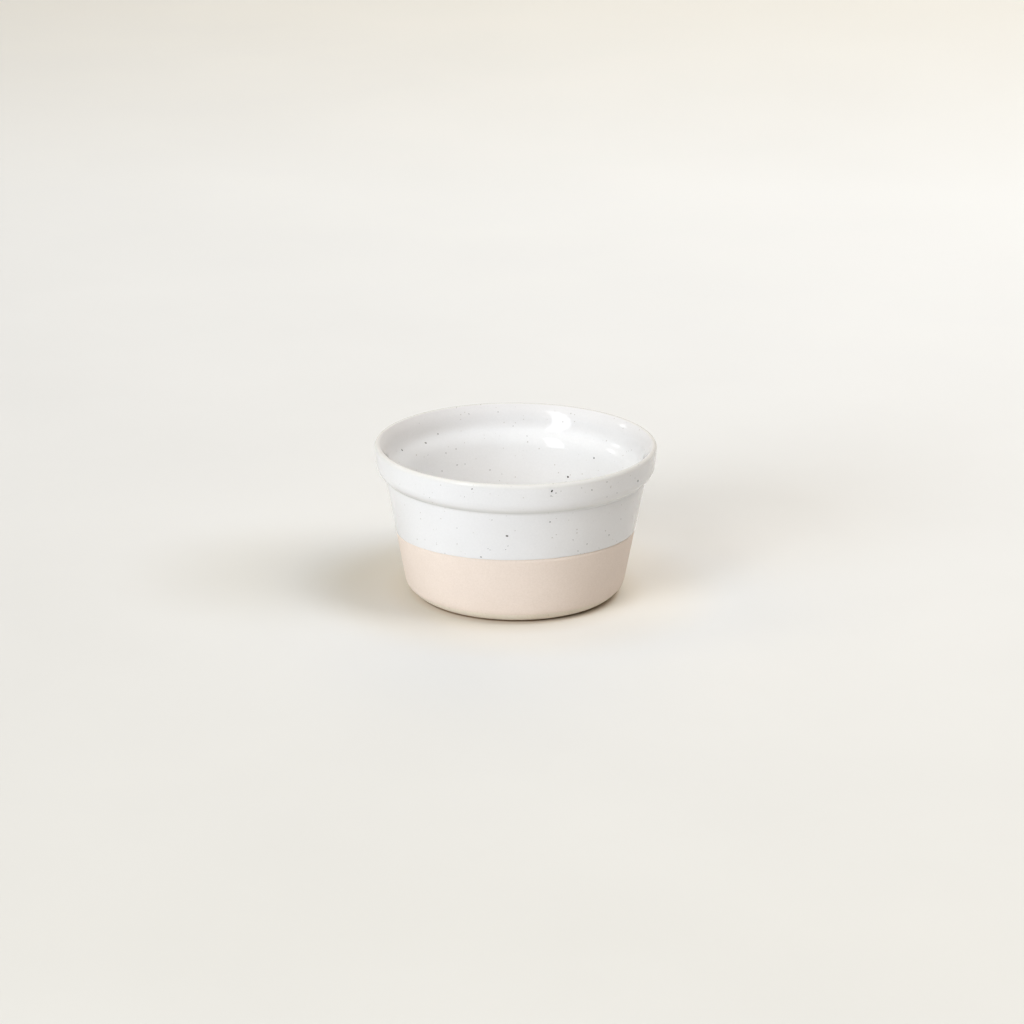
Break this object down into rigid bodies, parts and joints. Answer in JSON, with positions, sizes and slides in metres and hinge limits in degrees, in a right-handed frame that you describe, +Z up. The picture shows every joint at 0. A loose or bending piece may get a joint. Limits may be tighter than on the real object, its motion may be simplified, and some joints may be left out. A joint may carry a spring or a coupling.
{
  "type": "ramekin",
  "caption": "Round stoneware ramekin with a stepped collar, speckled white glaze over the upper part and inside, a matte blush lower band and a bare clay foot.",
  "frame": {"origin": "centre of the foot, on the surface that the ramekin stands on", "axes": "+Z up along the axis of the bowl; the side that the picture shows faces -Y, +X to its right"},
  "size_m": [0.1, 0.1, 0.055],
  "materials": {
    "bare_stoneware": "unglazed fired clay, tan, fine-grained and dry",
    "white_glaze": "glossy white stoneware glaze with sparse fine iron specks",
    "blush_coat": "matte blush pink coat with a fine eggshell grain"
  },
  "bodies": {
    "root": {"clay_body": "bare_stoneware", "white_glaze": "white_glaze", "blush_coat": "blush_coat"}
  },
  "joints": []
}
